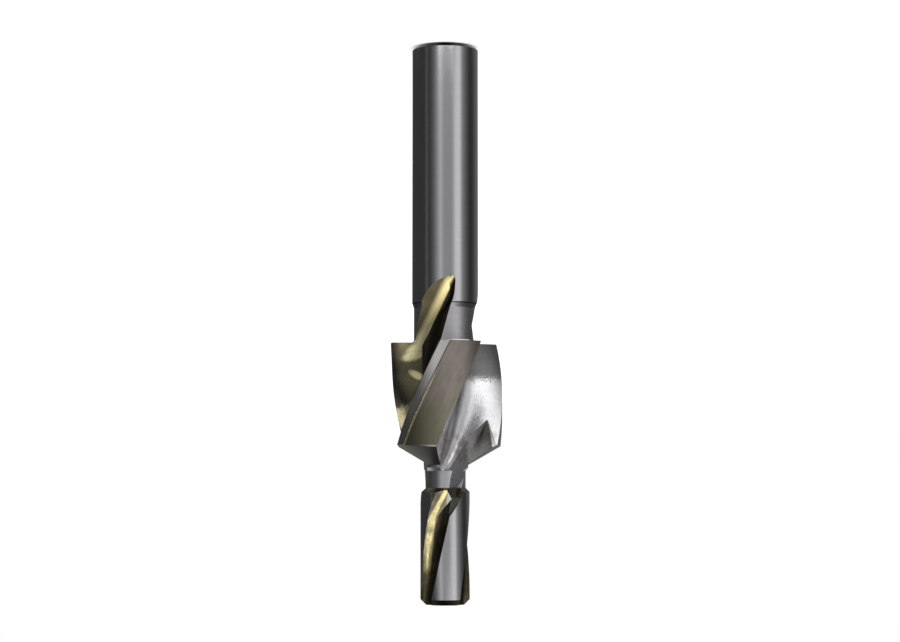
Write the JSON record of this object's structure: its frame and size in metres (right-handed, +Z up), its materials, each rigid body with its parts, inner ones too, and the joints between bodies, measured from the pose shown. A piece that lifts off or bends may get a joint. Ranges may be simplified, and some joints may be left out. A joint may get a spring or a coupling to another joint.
{
  "type": "stepped countersink",
  "caption": "One-piece steel stepped countersink with a fluted pilot, a three-flute 120 degree head and a 12 mm straight shank.",
  "frame": {"origin": "centre of the shank's flat end face, which the tool stands on", "axes": "+Z up the tool's axis, from the shank to the pilot; -Y faces the picture's camera, which sees the tool the other way up"},
  "size_m": [0.0203, 0.0207, 0.1015],
  "materials": {
    "ground_steel": "ground high-speed steel, bright on the shank, finely ground in the flutes"
  },
  "bodies": {
    "root": {"stepped_countersink": "ground_steel"}
  },
  "joints": []
}
